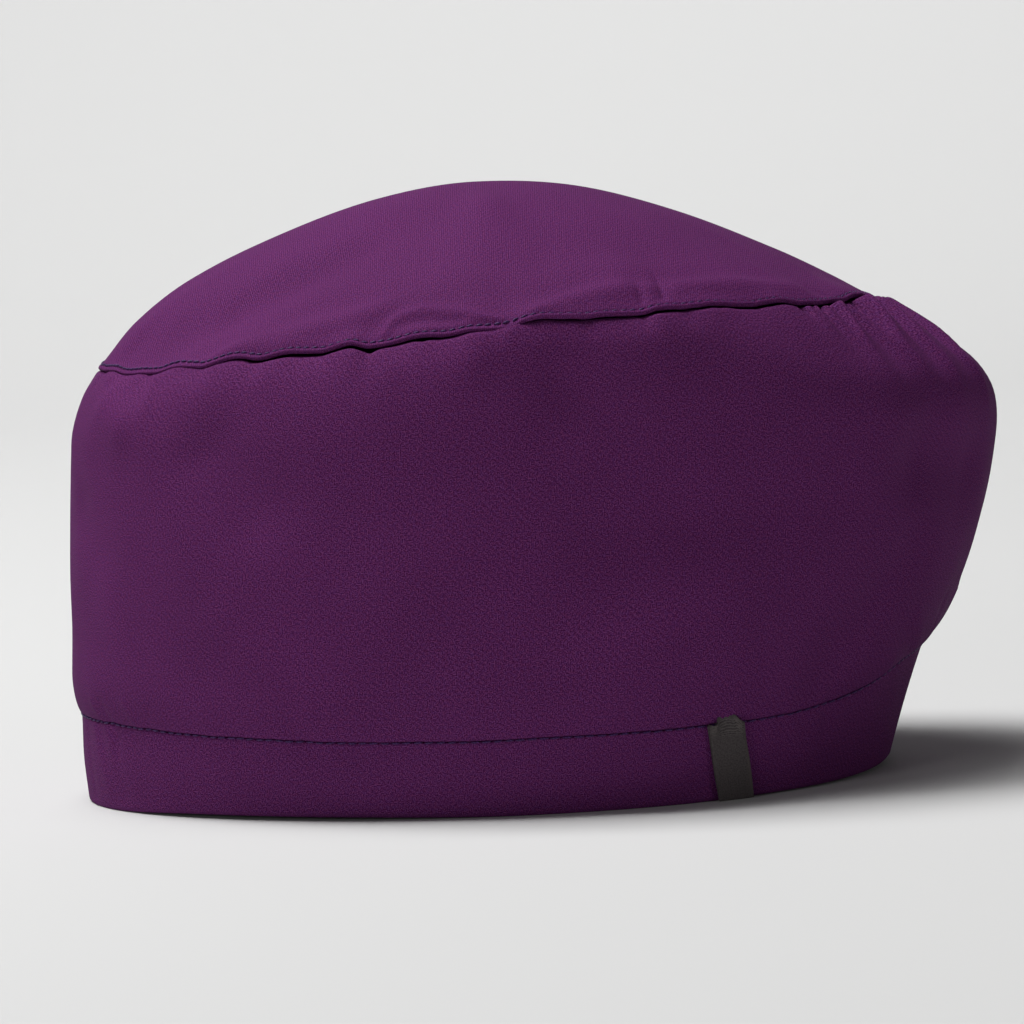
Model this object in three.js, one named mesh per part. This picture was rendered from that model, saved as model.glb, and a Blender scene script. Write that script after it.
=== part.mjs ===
import * as THREE from 'three';

// Scrub cap of thin cloth: an oval crown panel, a deep side wall that pouches out at the nape, a
// stitched hem band round the opening and a ribbon label folded on the hem.
// Millimetres, +Z up. The hem stands on z = 0, the forehead faces -Y and the wearer's left is +X.
// A station is a distance back from the front of the rim. An angle runs round the cap from the
// forehead at 0, past the wearer's left side at 90, to the nape at 180 and back by the right side.

// Plan of every section
const CENTRE_STATION = 111.3;
const WIDE_STATION = 104;
const FRONT_TAPER = 0.05;
const END_ROUNDNESS = 0.01;

// Cloth
const CROWN_CLOTH = 1.4;
const WALL_CLOTH = 1.4;
const HEM_CLOTH = 2.0;
const SEAM_GAP = 0.3;

// Facets
const STEPS_AROUND = 84;

// Sections of the hem from the rim, at share 0, up to the stitch line, at share 1
const hemSections = [
  { share: 0.0, front: 0.0, back: 194.6, halfWidth: 77.0 },
  { share: 0.5, front: -0.4, back: 198.5, halfWidth: 80.4 },
  { share: 1.0, front: -0.6, back: 203.7, halfWidth: 82.4 },
];

// Sections of the side wall from the stitch line, at share 0, up to the crown seam, at share 1
const wallSections = [
  { share: 0.0, front: -0.6, back: 203.7, halfWidth: 82.4 },
  { share: 0.12, front: -1.8, back: 210.3, halfWidth: 83.5 },
  { share: 0.25, front: -1.6, back: 215.8, halfWidth: 84.4 },
  { share: 0.4, front: -1.4, back: 220.2, halfWidth: 85.1 },
  { share: 0.55, front: -0.8, back: 223.2, halfWidth: 85.5 },
  { share: 0.66, front: -0.2, back: 224.4, halfWidth: 85.5 },
  { share: 0.74, front: 0.3, back: 223.3, halfWidth: 85.2 },
  { share: 0.81, front: 1.0, back: 219.4, halfWidth: 84.7 },
  { share: 0.88, front: 2.8, back: 212.2, halfWidth: 83.6 },
  { share: 0.94, front: 5.1, back: 204.8, halfWidth: 81.7 },
  { share: 1.0, front: 8.3, back: 196.8, halfWidth: 78.0 },
];

// Heights round the cap: how far the rim lifts, where the stitch line runs and where the seam runs
const heightsAround = [
  { angle: 0, rim: 0.0, stitchLine: 21.2, seam: 104.8 },
  { angle: 20, rim: 0.0, stitchLine: 21.3, seam: 104.5 },
  { angle: 45, rim: 0.9, stitchLine: 20.0, seam: 106.0 },
  { angle: 70, rim: 0.6, stitchLine: 18.6, seam: 109.2 },
  { angle: 90, rim: 0.0, stitchLine: 18.2, seam: 111.8 },
  { angle: 110, rim: 0.0, stitchLine: 18.3, seam: 113.4 },
  { angle: 130, rim: 0.3, stitchLine: 19.1, seam: 113.7 },
  { angle: 145, rim: 0.4, stitchLine: 22.3, seam: 112.8 },
  { angle: 160, rim: 0.8, stitchLine: 27.0, seam: 112.3 },
  { angle: 180, rim: 1.6, stitchLine: 28.0, seam: 111.4 },
];

// The crown falls from its apex to the seam: shares of that drop at each ring, front, side and back
const APEX_STATION = 101;
const APEX_HEIGHT = 144.5;
const crownRings = [
  { ring: 0.0, front: 0.0, side: 0.0, back: 0.0 },
  { ring: 0.25, front: 0.072, side: 0.085, back: 0.063 },
  { ring: 0.5, front: 0.25, side: 0.29, back: 0.282 },
  { ring: 0.75, front: 0.503, side: 0.58, back: 0.602 },
  { ring: 0.9, front: 0.748, side: 0.81, back: 0.833 },
  { ring: 1.0, front: 1.0, side: 1.0, back: 1.0 },
];

// Main folds of the wall. Each one is a soft ridge, or a dent where its height is negative. It
// reaches so many degrees across and so much of the wall's share along, and leans towards the nape
// by so many degrees for a full share of rise.
const wallFolds = [
  { name: 'front puff', angle: 22, share: 0.84, across: 10, along: 0.16, lean: 20, height: 1.3 },
  { name: 'dent beside the puff', angle: 38, share: 0.8, across: 7, along: 0.22, lean: 30, height: -1.3 },
  { name: 'hollow under the seam', angle: 100, share: 0.85, across: 16, along: 0.16, lean: 0, height: -1.2 },
  { name: 'soft bulge over the hem', angle: 108, share: 0.22, across: 20, along: 0.2, lean: 60, height: 0.7 },
  { name: 'gather 1', angle: 141.4, share: 0.92, across: 3.2, along: 0.2, lean: -50, height: 1.9 },
  { name: 'furrow 1', angle: 145.7, share: 0.94, across: 3.2, along: 0.16, lean: -50, height: -1.5 },
  { name: 'gather 2', angle: 150, share: 0.9, across: 3.2, along: 0.2, lean: -50, height: 1.9 },
  { name: 'furrow 2', angle: 154.3, share: 0.94, across: 3.2, along: 0.16, lean: -50, height: -1.5 },
  { name: 'gather 3', angle: 158.6, share: 0.9, across: 3.2, along: 0.2, lean: -50, height: 1.9 },
  { name: 'far front puff', angle: 334, share: 0.84, across: 11, along: 0.16, lean: -20, height: 0.8 },
  { name: 'far hollow', angle: 256, share: 0.84, across: 16, along: 0.16, lean: 0, height: -0.8 },
  { name: 'far gather 1', angle: 218.6, share: 0.92, across: 3.2, along: 0.2, lean: 50, height: 1.8 },
  { name: 'far furrow', angle: 214.3, share: 0.94, across: 3.2, along: 0.16, lean: 50, height: -1.5 },
  { name: 'far gather 2', angle: 210, share: 0.9, across: 3.2, along: 0.2, lean: 50, height: 1.8 },
  { name: 'nape gather', angle: 184.3, share: 0.9, across: 3.6, along: 0.2, lean: 0, height: 1.5 },
];

// Main folds of the crown, along its rings from the apex, at 0, to the seam, at 1
const crownFolds = [
  { name: 'hollow over forehead', angle: 30, share: 0.84, across: 14, along: 0.12, lean: 0, height: -1.6 },
  { name: 'ridge above the hollow', angle: 52, share: 0.66, across: 16, along: 0.1, lean: 40, height: 0.8 },
  { name: 'pinch by the seam', angle: 76, share: 0.88, across: 8, along: 0.08, lean: 0, height: -1.2 },
  { name: 'far hollow', angle: 300, share: 0.84, across: 14, along: 0.12, lean: 0, height: -1.2 },
];

// Ribbon label, folded double, on the hem between the wearer's left side and the nape
const LABEL_WIDTH = 9;
const LABEL_THICKNESS = 1;
const LABEL_ANGLE = 119;
const LABEL_SLANT = 2.2;
const LABEL_CLEARANCE = 0.3;
const LABEL_FOOT = 0.02;
const LABEL_TOP = 1;
const LABEL_COLUMNS = 4;
const LABEL_ROWS = 3;

// Small steps along the hem, in degrees and in share, that give its directions at the label
const ANGLE_STEP = 1;
const SHARE_STEP = 0.02;

const DEGREES = Math.PI / 180;
const HEM_ROWS = [0, 0.33, 0.67, 1];
const WALL_ROWS = [0, 0.08, 0.17, 0.28, 0.4, 0.52, 0.63, 0.72, 0.8, 0.86, 0.91, 0.96, 1];
const CROWN_ROWS = [1, 0.95, 0.88, 0.8, 0.7, 0.58, 0.44, 0.28, 0.12, 0];

// A smooth curve through one column of a table, read at a key. It never passes a highest or lowest
// row, and a level end is flat there.
function readCurve(table, keyName, column, key, levelStart = false, levelEnd = false) {
  const last = table.length - 1;
  const at = Math.min(Math.max(key, table[0][keyName]), table[last][keyName]);
  let row = 0;
  while (row < last - 1 && at > table[row + 1][keyName]) {
    row += 1;
  }
  const slope = (index) => {
    const isInner = index > 0 && index < last;
    const isLevelEnd = (index === 0 && levelStart) || (index === last && levelEnd);
    const before = table[Math.max(index - 1, 0)];
    const here = table[index];
    const after = table[Math.min(index + 1, last)];
    const isPeak = (here[column] - before[column]) * (after[column] - here[column]) <= 0;
    if (isLevelEnd || (isInner && isPeak)) {
      return 0;
    }
    return (after[column] - before[column]) / (after[keyName] - before[keyName]);
  };
  const start = table[row];
  const end = table[row + 1];
  const step = end[keyName] - start[keyName];
  const t = (at - start[keyName]) / step;
  const t2 = t * t;
  const t3 = t2 * t;
  const startPart = (2 * t3 - 3 * t2 + 1) * start[column] + (t3 - 2 * t2 + t) * step * slope(row);
  const endPart = (3 * t2 - 2 * t3) * end[column] + (t3 - t2) * step * slope(row + 1);
  return startPart + endPart;
}

// The two sides are alike, so heights are read by the angle from the forehead
function heightAround(angle, column) {
  const fromForehead = Math.acos(Math.cos(angle * DEGREES)) / DEGREES;
  return readCurve(heightsAround, 'angle', column, fromForehead, true, true);
}

// A point of an egg-shaped section, narrower at the forehead than at the nape
function sectionPoint(angle, front, back, halfWidth) {
  const c = Math.cos(angle * DEGREES);
  const s = Math.sin(angle * DEGREES);
  const meanReach = (back - front) / 2;
  const skew = (back + front) / 2 - WIDE_STATION;
  const x = halfWidth * s * (1 - FRONT_TAPER * c - END_ROUNDNESS * c * c);
  const station = WIDE_STATION - meanReach * c + skew * c * c;
  return { x, y: station - CENTRE_STATION };
}

// Total height of the folds at a place on the wall or the crown
function foldHeight(folds, angle, share) {
  let total = 0;
  for (const fold of folds) {
    const rise = share - fold.share;
    let aside = angle - fold.angle - fold.lean * rise;
    aside -= 360 * Math.round(aside / 360);
    const reach = (aside / fold.across) ** 2 + (rise / fold.along) ** 2;
    total += fold.height * Math.exp(-reach);
  }
  return total;
}

function hemPoint(angle, share) {
  const front = readCurve(hemSections, 'share', 'front', share);
  const back = readCurve(hemSections, 'share', 'back', share);
  const halfWidth = readCurve(hemSections, 'share', 'halfWidth', share);
  const plan = sectionPoint(angle, front, back, halfWidth);
  const z = heightAround(angle, 'rim') * (1 - share) + heightAround(angle, 'stitchLine') * share;
  return new THREE.Vector3(plan.x, plan.y, z);
}

function wallPoint(angle, share) {
  const front = readCurve(wallSections, 'share', 'front', share);
  const back = readCurve(wallSections, 'share', 'back', share);
  const halfWidth = readCurve(wallSections, 'share', 'halfWidth', share);
  const plan = sectionPoint(angle, front, back, halfWidth);
  const z = heightAround(angle, 'stitchLine') * (1 - share) + heightAround(angle, 'seam') * share;
  return new THREE.Vector3(plan.x, plan.y, z);
}

function crownPoint(angle, ring) {
  const edge = wallPoint(angle, 1);
  const c = Math.cos(angle * DEGREES);
  const s = Math.sin(angle * DEGREES);
  const endColumn = c > 0 ? 'front' : 'back';
  const endDrop = readCurve(crownRings, 'ring', endColumn, ring, true);
  const sideDrop = readCurve(crownRings, 'ring', 'side', ring, true);
  const drop = c * c * endDrop + s * s * sideDrop;
  const apexY = APEX_STATION - CENTRE_STATION;
  const z = APEX_HEIGHT - (APEX_HEIGHT - edge.z) * drop;
  return new THREE.Vector3(edge.x * ring, apexY + (edge.y - apexY) * ring, z);
}

// The whole skin of the cap, row by row from the rim to the apex
const skinRows = [];
for (const share of HEM_ROWS) {
  skinRows.push({ pointAt: (angle) => hemPoint(angle, share), foldAt: () => 0 });
}
for (const share of WALL_ROWS.slice(1)) {
  const foldAt = (angle) => foldHeight(wallFolds, angle, share);
  skinRows.push({ pointAt: (angle) => wallPoint(angle, share), foldAt });
}
for (const ring of CROWN_ROWS.slice(1)) {
  const foldAt = (angle) => foldHeight(crownFolds, angle, ring);
  skinRows.push({ pointAt: (angle) => crownPoint(angle, ring), foldAt });
}
const STITCH_ROW = HEM_ROWS.length - 1;
const SEAM_ROW = STITCH_ROW + WALL_ROWS.length - 1;
const APEX_ROW = skinRows.length - 1;

const stepAngle = 360 / STEPS_AROUND;
const smoothSkin = skinRows.map((row) => {
  const points = [];
  for (let step = 0; step < STEPS_AROUND; step += 1) {
    points.push(row.pointAt(step * stepAngle));
  }
  return points;
});

// Outward direction of the skin at a grid point, from its neighbours on the grid
function outwardAt(grid, row, step) {
  if (row === APEX_ROW) {
    return new THREE.Vector3(0, 0, 1);
  }
  const next = grid[row][(step + 1) % STEPS_AROUND];
  const previous = grid[row][(step + STEPS_AROUND - 1) % STEPS_AROUND];
  const above = grid[Math.min(row + 1, APEX_ROW)][step];
  const below = grid[Math.max(row - 1, 0)][step];
  const around = next.clone().sub(previous);
  const upward = above.clone().sub(below);
  return around.cross(upward).normalize();
}

const skin = smoothSkin.map((points, row) => points.map((point, step) => {
  const height = skinRows[row].foldAt(step * stepAngle);
  return point.clone().addScaledVector(outwardAt(smoothSkin, row, step), height);
}));
const outward = skin.map((points, row) => points.map((point, step) => outwardAt(skin, row, step)));

// Rows of one piece, outside and inside. Its end rows keep half the seam gap to the next piece.
function pieceRows(firstRow, lastRow, cloth, opensBelow, opensAbove) {
  const outside = [];
  const inside = [];
  for (let row = firstRow; row <= lastRow; row += 1) {
    const outer = [];
    const inner = [];
    for (let step = 0; step < STEPS_AROUND; step += 1) {
      const point = skin[row][step].clone();
      const isFoot = row === firstRow && opensBelow;
      const isHead = row === lastRow && opensAbove;
      if (isFoot || isHead) {
        const neighbour = skin[isFoot ? row + 1 : row - 1][step];
        point.addScaledVector(neighbour.clone().sub(point).normalize(), SEAM_GAP / 2);
      }
      outer.push(point);
      inner.push(point.clone().addScaledVector(outward[row][step], -cloth));
    }
    outside.push(outer);
    inside.push(inner);
  }
  return { outside, inside };
}

// Closed wall of cloth between two stacks of rings. With a tip, the last ring closes to one point.
function clothGeometry(rows, hasTip) {
  const positions = [];
  const triangles = [];
  const layers = [rows.outside, rows.inside];
  const ringCount = rows.outside.length;
  const openCount = hasTip ? ringCount - 1 : ringCount;
  const firstVertex = layers.map((layer) => {
    const first = positions.length / 3;
    for (let ring = 0; ring < openCount; ring += 1) {
      layer[ring].forEach((point) => positions.push(point.x, point.y, point.z));
    }
    if (hasTip) {
      const tip = layer[ringCount - 1][0];
      positions.push(tip.x, tip.y, tip.z);
    }
    return first;
  });
  const vertex = (layer, ring, step) => firstVertex[layer] + ring * STEPS_AROUND + (step % STEPS_AROUND);
  const addQuad = (a, b, c, d) => triangles.push(a, b, c, a, c, d);
  for (let step = 0; step < STEPS_AROUND; step += 1) {
    for (let ring = 0; ring < openCount - 1; ring += 1) {
      const outer = [vertex(0, ring, step), vertex(0, ring, step + 1)];
      const outerAbove = [vertex(0, ring + 1, step + 1), vertex(0, ring + 1, step)];
      addQuad(...outer, ...outerAbove);
      const inner = [vertex(1, ring, step + 1), vertex(1, ring, step)];
      const innerAbove = [vertex(1, ring + 1, step), vertex(1, ring + 1, step + 1)];
      addQuad(...inner, ...innerAbove);
    }
    addQuad(vertex(0, 0, step + 1), vertex(0, 0, step), vertex(1, 0, step), vertex(1, 0, step + 1));
    const top = openCount - 1;
    if (hasTip) {
      const tips = firstVertex.map((first) => first + openCount * STEPS_AROUND);
      triangles.push(vertex(0, top, step), vertex(0, top, step + 1), tips[0]);
      triangles.push(vertex(1, top, step + 1), vertex(1, top, step), tips[1]);
    } else {
      addQuad(vertex(0, top, step), vertex(0, top, step + 1), vertex(1, top, step + 1), vertex(1, top, step));
    }
  }
  return closedGeometry(positions, triangles);
}

function closedGeometry(positions, triangles) {
  const geometry = new THREE.BufferGeometry();
  geometry.setAttribute('position', new THREE.Float32BufferAttribute(positions, 3));
  geometry.setIndex(triangles);
  geometry.computeVertexNormals();
  return geometry;
}

// The rim stands flat: the hem's lowest ring is levelled inside and out
function makeHemBand() {
  const rows = pieceRows(0, STITCH_ROW, HEM_CLOTH, false, true);
  rows.inside[0].forEach((point, step) => {
    point.z = rows.outside[0][step].z;
  });
  return clothGeometry(rows, false);
}

// The label lies along the hem's face, a little clear of it, and leans back towards its foot
function makeLabel() {
  const positions = [];
  const triangles = [];
  const middle = hemPoint(LABEL_ANGLE, 0.5);
  const lengthPerDegree = hemPoint(LABEL_ANGLE + ANGLE_STEP, 0.5).distanceTo(middle) / ANGLE_STEP;
  const columnsAlong = LABEL_COLUMNS + 1;
  const layerSize = columnsAlong * (LABEL_ROWS + 1);
  for (const offset of [LABEL_CLEARANCE + LABEL_THICKNESS, LABEL_CLEARANCE]) {
    for (let row = 0; row <= LABEL_ROWS; row += 1) {
      const share = LABEL_FOOT + (LABEL_TOP - LABEL_FOOT) * (row / LABEL_ROWS);
      for (let column = 0; column <= LABEL_COLUMNS; column += 1) {
        const aside = LABEL_WIDTH * (column / LABEL_COLUMNS - 0.5) - LABEL_SLANT * (share - 0.5);
        const angle = LABEL_ANGLE + aside / lengthPerDegree;
        const point = hemPoint(angle, share);
        const beside = hemPoint(angle + ANGLE_STEP, share).sub(point);
        const above = hemPoint(angle, share + SHARE_STEP).sub(point);
        point.addScaledVector(beside.cross(above).normalize(), offset);
        positions.push(point.x, point.y, point.z);
      }
    }
  }
  const vertex = (layer, row, column) => layer * layerSize + row * columnsAlong + column;
  const addQuad = (a, b, c, d) => triangles.push(a, b, c, a, c, d);
  for (let row = 0; row < LABEL_ROWS; row += 1) {
    for (let column = 0; column < LABEL_COLUMNS; column += 1) {
      const corners = [[row, column], [row, column + 1], [row + 1, column + 1], [row + 1, column]];
      addQuad(...corners.map(([r, c]) => vertex(0, r, c)));
      addQuad(...corners.reverse().map(([r, c]) => vertex(1, r, c)));
    }
    addQuad(vertex(1, row, 0), vertex(0, row, 0), vertex(0, row + 1, 0), vertex(1, row + 1, 0));
    const end = LABEL_COLUMNS;
    addQuad(vertex(0, row, end), vertex(1, row, end), vertex(1, row + 1, end), vertex(0, row + 1, end));
  }
  for (let column = 0; column < LABEL_COLUMNS; column += 1) {
    const top = LABEL_ROWS;
    const next = column + 1;
    addQuad(vertex(1, 0, column), vertex(1, 0, next), vertex(0, 0, next), vertex(0, 0, column));
    addQuad(vertex(0, top, column), vertex(0, top, next), vertex(1, top, next), vertex(1, top, column));
  }
  return closedGeometry(positions, triangles);
}

const crownCloth = new THREE.MeshStandardMaterial({ color: 0x6a3468, roughness: 0.75, metalness: 0 });
const wallCloth = new THREE.MeshStandardMaterial({ color: 0x481a47, roughness: 0.75, metalness: 0 });
const hemCloth = new THREE.MeshStandardMaterial({ color: 0x431941, roughness: 0.75, metalness: 0 });
const labelRibbon = new THREE.MeshStandardMaterial({ color: 0x1e1c1c, roughness: 0.8, metalness: 0 });

const cap = new THREE.Group();

function addPiece(name, geometry, material) {
  const piece = new THREE.Mesh(geometry, material);
  piece.name = name;
  cap.add(piece);
}

const crownRows = pieceRows(SEAM_ROW, APEX_ROW, CROWN_CLOTH, true, false);
const wallRows = pieceRows(STITCH_ROW, SEAM_ROW, WALL_CLOTH, true, true);
addPiece('crown_panel', clothGeometry(crownRows, true), crownCloth);
addPiece('side_wall', clothGeometry(wallRows, false), wallCloth);
addPiece('hem_band', makeHemBand(), hemCloth);
addPiece('label', makeLabel(), labelRibbon);

export default cap;
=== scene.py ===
import math

import bpy
import numpy as np
from mathutils import Matrix, Vector


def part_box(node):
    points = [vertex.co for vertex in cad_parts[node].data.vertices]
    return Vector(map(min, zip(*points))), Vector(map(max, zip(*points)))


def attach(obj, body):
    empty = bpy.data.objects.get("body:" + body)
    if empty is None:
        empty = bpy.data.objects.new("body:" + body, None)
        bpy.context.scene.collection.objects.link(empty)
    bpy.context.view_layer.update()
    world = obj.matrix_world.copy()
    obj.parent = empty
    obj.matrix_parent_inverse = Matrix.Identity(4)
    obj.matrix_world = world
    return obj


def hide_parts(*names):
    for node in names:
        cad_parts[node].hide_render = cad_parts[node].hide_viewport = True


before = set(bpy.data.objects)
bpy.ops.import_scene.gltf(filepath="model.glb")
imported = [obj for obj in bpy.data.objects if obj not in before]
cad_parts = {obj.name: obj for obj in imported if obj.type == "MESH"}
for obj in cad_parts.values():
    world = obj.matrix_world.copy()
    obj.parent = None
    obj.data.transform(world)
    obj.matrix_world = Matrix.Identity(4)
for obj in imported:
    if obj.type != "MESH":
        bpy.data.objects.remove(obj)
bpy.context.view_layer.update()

# Scrub cap: an oval crown panel topstitched to a deep gathered wall, with a stitched hem and a ribbon label.
# Angles run round the cap in degrees: 0 at the forehead (-Y), 90 at the wearer's left (+X), 180 at the nape.
mm = 0.001  # the cap's tables are in millimetres, and every mesh is in metres
rng = np.random.default_rng(7)

# Camera: a long lens, a little above the rim and turned a little, from the wearer's left
cameraLook = {
    "distance": 1.4,
    "pitch": 4.4,
    "roll": 3.0,
    "target": (0.0, -0.00525, 0.0642),
    "lens": 203.2,
}


def makeCamera(look):
    pitch = math.radians(look["pitch"])
    back = Vector((math.cos(pitch), 0, math.sin(pitch)))
    level = Vector((0, 1, 0))
    upright = back.cross(level)
    roll = math.radians(look["roll"])
    right = level * math.cos(roll) - upright * math.sin(roll)
    up = level * math.sin(roll) + upright * math.cos(roll)
    data = bpy.data.cameras.new("camera")
    data.lens = look["lens"]
    camera = bpy.data.objects.new("camera", data)
    bpy.context.collection.objects.link(camera)
    turn = Matrix((right, up, back)).transposed().to_4x4()
    camera.matrix_world = Matrix.Translation(Vector(look["target"]) + back * look["distance"]) @ turn
    bpy.context.scene.camera = camera


makeCamera(cameraLook)
print("camera placed")


# Tables: one row for each section, ring, fold or wave, with its columns named
def table(columns, *rows):
    return {name: np.array([row[i] for row in rows], float) for i, name in enumerate(columns.split())}


plan = {
    "centreStation": 111.3,  # stations are measured back from the front of the rim
    "wideStation": 104.0,
    "frontTaper": 0.05,
    "endRoundness": 0.01,
    "apexStation": 101.0,
    "wallWaveFrom": 0.8,  # share of the wall, and ring of the crown, from which the seam's waves grow
    "crownWaveFrom": 0.88,
}
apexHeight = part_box("crown_panel")[1][2] / mm
apexY = plan["apexStation"] - plan["centreStation"]

hemSections = table(
    "share front back halfWidth",
    (0.0, 0.0, 194.6, 77.0),
    (0.5, -0.4, 198.5, 80.4),
    (1.0, -0.6, 203.7, 82.4),
)
wallSections = table(
    "share front back halfWidth",
    (0.0, -0.6, 203.7, 82.4),
    (0.12, -1.8, 210.3, 83.5),
    (0.25, -1.6, 215.8, 84.4),
    (0.4, -1.4, 220.2, 85.1),
    (0.55, -0.8, 223.2, 85.5),
    (0.66, -0.2, 224.4, 85.5),
    (0.74, 0.3, 223.3, 85.2),
    (0.81, 1.0, 219.4, 84.7),
    (0.88, 2.8, 212.2, 83.6),
    (0.94, 5.1, 204.8, 81.7),
    (1.0, 8.3, 196.8, 78.0),
)
heightsAround = table(
    "angle rim stitchLine seam",
    (0, 0.0, 21.2, 104.8),
    (20, 0.0, 21.3, 104.5),
    (45, 0.9, 20.0, 106.0),
    (70, 0.6, 18.6, 109.2),
    (90, 0.0, 18.2, 111.8),
    (110, 0.0, 18.3, 113.4),
    (130, 0.3, 19.1, 113.7),
    (145, 0.4, 22.3, 112.8),
    (160, 0.8, 27.0, 112.3),
    (180, 1.6, 28.0, 111.4),
)
crownRings = table(
    "ring front side back",
    (0.0, 0.0, 0.0, 0.0),
    (0.25, 0.072, 0.085, 0.063),
    (0.5, 0.25, 0.29, 0.282),
    (0.75, 0.503, 0.58, 0.602),
    (0.9, 0.748, 0.81, 0.833),
    (1.0, 1.0, 1.0, 1.0),
)
# Small waves of the crown seam: how far it lifts. The far side repeats them.
seamWaves = table(
    "angle lift",
    (0, -0.3),
    (16, 0.1),
    (26, -0.5),
    (34, -0.5),
    (39.5, 0.7),
    (44, 0.1),
    (50, 1.3),
    (55, 0.5),
    (60, 0.8),
    (65, 0.3),
    (69.5, 1.0),
    (72.5, -0.3),
    (75.5, 0.1),
    (79, 0.8),
    (83.5, 0.4),
    (87, 0.8),
    (91.5, 0.5),
    (94, 1.3),
    (96.5, 2.0),
    (101, 1.1),
    (105, 1.0),
    (110.8, 0.6),
    (114, 1.2),
    (122, 1.1),
    (130, 0.4),
    (136, 0.8),
    (142.7, 0.2),
    (152, 0.4),
    (158, 1.4),
    (166, 0.3),
    (180, -0.3),
)
# The crown's folded edge: how proud it stands of the wall. Below 0 the wall's puff laps over it.
edgeProudness = table(
    "angle proud",
    (0, 0.5),
    (8, 0.5),
    (13, 0.4),
    (18, 0.1),
    (24, 0.22),
    (28, 0.12),
    (33, 0.22),
    (38, 0.1),
    (43, 0.28),
    (50, 0.5),
    (56, 0.8),
    (62, 1.0),
    (66, 0.85),
    (70, 1.0),
    (74, 0.6),
    (80, 0.85),
    (86, 0.5),
    (90.5, 0.1),
    (92.0, -0.5),
    (93.2, -0.3),
    (94.2, 0.5),
    (97, 0.9),
    (103, 1.1),
    (109, 0.9),
    (111, 0.7),
    (114, 1.0),
    (122, 0.8),
    (130, 1.0),
    (140, 0.8),
    (150, 0.9),
    (166, 0.6),
    (180, 0.45),
)


# A smooth curve through one column, read at a key. It never passes a highest or lowest row.
def readCurve(rows, keyName, column, key, levelStart=False, levelEnd=False):
    keys, values = rows[keyName], rows[column]
    rises = np.diff(values)
    slopes = np.zeros(len(keys))
    slopes[1:-1] = (values[2:] - values[:-2]) / (keys[2:] - keys[:-2])
    slopes[1:-1] *= rises[:-1] * rises[1:] > 0
    if not levelStart:
        slopes[0] = rises[0] / (keys[1] - keys[0])
    if not levelEnd:
        slopes[-1] = rises[-1] / (keys[-1] - keys[-2])
    key = np.clip(key, keys[0], keys[-1])
    row = np.clip(np.searchsorted(keys, key, side="right") - 1, 0, len(keys) - 2)
    step = keys[row + 1] - keys[row]
    t = (key - keys[row]) / step
    startPart = (2 * t**3 - 3 * t**2 + 1) * values[row] + (t**3 - 2 * t**2 + t) * step * slopes[row]
    endPart = (3 * t**2 - 2 * t**3) * values[row + 1] + (t**3 - t**2) * step * slopes[row + 1]
    return startPart + endPart


def smoothStep(low, high, value):
    t = np.clip((value - low) / (high - low), 0, 1)
    return t * t * (3 - 2 * t)


def bellCurve(distance, spread):
    return np.exp(-((distance / spread) ** 2))


def unit(vectors):
    return vectors / np.linalg.norm(vectors, axis=-1, keepdims=True)


def lengthsAlong(points):
    return np.concatenate([[0], np.cumsum(np.linalg.norm(np.diff(points, axis=0), axis=1))])


def heightAround(angle, column):
    fromForehead = np.degrees(np.arccos(np.clip(np.cos(np.radians(angle)), -1, 1)))
    return readCurve(heightsAround, "angle", column, fromForehead, True, True)


def seamLift(angle):
    return readCurve(seamWaves, "angle", "lift", np.mod(angle, 180), True, True)


def sectionPoint(angle, front, back, halfWidth):
    c, s = np.cos(np.radians(angle)), np.sin(np.radians(angle))
    skew = (back + front) / 2 - plan["wideStation"]
    x = halfWidth * s * (1 - plan["frontTaper"] * c - plan["endRoundness"] * c * c)
    y = plan["wideStation"] - (back - front) / 2 * c + skew * c * c - plan["centreStation"]
    return x, y


def sectionAt(rows, angle, share):
    ends = (readCurve(rows, "share", name, share) for name in ("front", "back", "halfWidth"))
    return sectionPoint(angle, *ends)


def hemPoint(angle, share):
    x, y = sectionAt(hemSections, angle, share)
    z = heightAround(angle, "rim") * (1 - share) + heightAround(angle, "stitchLine") * share
    return np.stack([x, y, z], -1)


def wallPoint(angle, share):
    x, y = sectionAt(wallSections, angle, share)
    wave = seamLift(angle) * smoothStep(plan["wallWaveFrom"], 1, share)
    z = heightAround(angle, "stitchLine") * (1 - share) + heightAround(angle, "seam") * share + wave
    return np.stack([x, y, z], -1)


def crownPoint(angle, ring):
    edgeX, edgeY = sectionPoint(angle, *(wallSections[name][-1] for name in ("front", "back", "halfWidth")))
    c, s = np.cos(np.radians(angle)), np.sin(np.radians(angle))
    drops = (readCurve(crownRings, "ring", way, ring, True) for way in ("front", "side", "back"))
    frontDrop, sideDrop, backDrop = drops
    drop = c * c * np.where(c > 0, frontDrop, backDrop) + s * s * sideDrop
    wave = seamLift(angle) * smoothStep(plan["crownWaveFrom"], 1, ring)
    z = apexHeight - (apexHeight - heightAround(angle, "seam")) * drop + wave
    return np.stack([edgeX * ring, apexY + (edgeY - apexY) * ring, z], -1)


# Folds: soft ridges, or furrows where the height is negative, each from one place on the cloth to another.
# A row that starts where the row above it ends carries that fold on.
# up is the way up the cloth in millimetres from the stitch line.
wallSpan = 100
hemSpan = 19.5
crownSpan = 115
foldColumns = "angle1 up1 angle2 up2 across1 across2 height1 height2"

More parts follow.
